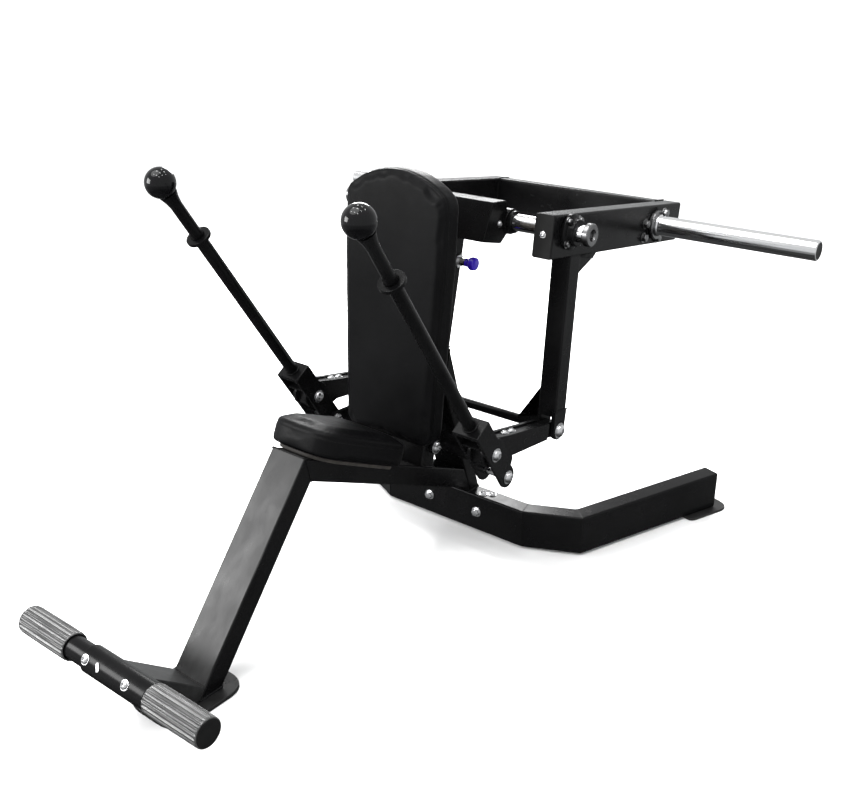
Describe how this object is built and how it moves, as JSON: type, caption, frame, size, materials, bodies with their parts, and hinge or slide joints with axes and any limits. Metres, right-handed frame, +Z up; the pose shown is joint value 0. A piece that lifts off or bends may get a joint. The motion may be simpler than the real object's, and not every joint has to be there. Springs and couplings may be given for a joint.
{
  "type": "hip thrust machine",
  "caption": "Plate-loaded hip thrust machine with a pivoting weight carriage, assist levers, a sloped seat, a reclining backrest and a foot bar.",
  "frame": {"origin": "on the floor, in the machine's mid-plane, under the front leg's foot plate", "axes": "+Z up, +Y from the foot bar to the rear of the machine, +X to the seated user's left"},
  "size_m": [1.45, 1.7086, 1.0239],
  "materials": {
    "black_paint": "glossy black powder coat",
    "chrome": "polished",
    "vinyl": "black upholstery vinyl with edge seams",
    "plywood": "black stained board",
    "grip_rubber": "ribbed grey rubber",
    "foot_rubber": "smooth black rubber",
    "black_ball": "glossy black",
    "blue_plastic": "glossy blue-violet"
  },
  "bodies": {
    "frame": {"base_front_tube": "black_paint", "base_corner_left": "black_paint", "base_corner_right": "black_paint", "base_rail_left": "black_paint", "base_rail_right": "black_paint", "rear_foot_left": "foot_rubber", "rear_foot_right": "foot_rubber", "front_foot_plate": "black_paint", "front_leg": "black_paint", "spine": "black_paint", "foot_bar_arm": "black_paint", "foot_bar_sleeve": "black_paint", "foot_bar_tube": "black_paint", "foot_grip_left": "grip_rubber", "foot_grip_right": "grip_rubber", "seat_board": "plywood", "seat_pad": "vinyl", "post": "black_paint", "head_bracket": "black_paint", "axle": "chrome", "axle_cap_left": "chrome", "axle_cap_right": "chrome", "lever_cross_tube": "black_paint", "lever_bracket_left": "black_paint", "lever_bracket_right": "black_paint", "rear_brace": "black_paint", "backrest_hinge_bolt": "chrome", "pull_pin_housing": "chrome"},
    "carriage": {"carriage_rear_beam": "black_paint", "carriage_lower_rod": "black_paint", "carriage_arm_left": "black_paint", "carriage_arm_right": "black_paint", "carriage_bar_left": "black_paint", "carriage_bar_right": "black_paint", "carriage_lower_pin_left": "chrome", "carriage_lower_pin_right": "chrome", "axle_bearing_left": "black_paint", "axle_bearing_right": "black_paint", "horn_flange_left": "chrome", "horn_flange_right": "chrome", "plate_horn_left": "chrome", "plate_horn_right": "chrome"},
    "lever_left": {"lever_head_left": "black_paint", "lever_rod_left": "black_paint", "lever_collar_left": "black_paint", "lever_knob_left": "black_ball", "link_bolt_left": "chrome"},
    "lever_right": {"lever_head_right": "black_paint", "lever_rod_right": "black_paint", "lever_collar_right": "black_paint", "lever_knob_right": "black_ball", "link_bolt_right": "chrome"},
    "link_left": {"lever_link_left": "black_paint"},
    "link_right": {"lever_link_right": "black_paint"},
    "backrest": {"backrest_pad": "vinyl", "backrest_board": "plywood", "backrest_hinge": "black_paint", "backrest_sector": "chrome"},
    "pull_pin": {"pull_pin_plunger": "blue_plastic"}
  },
  "joints": [
    {"name": "carriage_pivot", "type": "hinge", "parent": "frame", "child": "carriage", "pos_m": [0, 0.898, 0.848], "axis": [1, 0, 0], "range_deg": [0, 7]},
    {"name": "lever_left_pivot", "type": "hinge", "parent": "frame", "child": "lever_left", "pos_m": [0.274, 0.67, 0.32], "axis": [1, 0, 0], "range_deg": [-42.5, 0]},
    {"name": "lever_right_pivot", "type": "hinge", "parent": "frame", "child": "lever_right", "pos_m": [-0.274, 0.67, 0.32], "axis": [1, 0, 0], "range_deg": [-42.5, 0]},
    {"name": "link_left_pivot", "type": "hinge", "parent": "lever_left", "child": "link_left", "pos_m": [0.274, 0.62009, 0.39475], "axis": [1, 0, 0], "range_deg": [0, 39.5]},
    {"name": "link_right_pivot", "type": "hinge", "parent": "lever_right", "child": "link_right", "pos_m": [-0.274, 0.62009, 0.39475], "axis": [1, 0, 0], "range_deg": [0, 39.5]},
    {"name": "backrest_recline", "type": "hinge", "parent": "frame", "child": "backrest", "pos_m": [0, 0.722, 0.303], "axis": [1, 0, 0], "range_deg": [-7.5, 0]},
    {"name": "pull_pin_slide", "type": "slide", "parent": "frame", "child": "pull_pin", "axis": [1, 0, 0], "range_m": [0, 0.012], "stiffness_N_per_m": 600, "springref_m": -0.004}
  ],
  "couplings": [
    {"joint": "lever_left_pivot", "follows": "carriage_pivot", "ratio": -5.94},
    {"joint": "lever_right_pivot", "follows": "carriage_pivot", "ratio": -5.94},
    {"joint": "link_left_pivot", "follows": "carriage_pivot", "ratio": 5.5},
    {"joint": "link_right_pivot", "follows": "carriage_pivot", "ratio": 5.5}
  ]
}
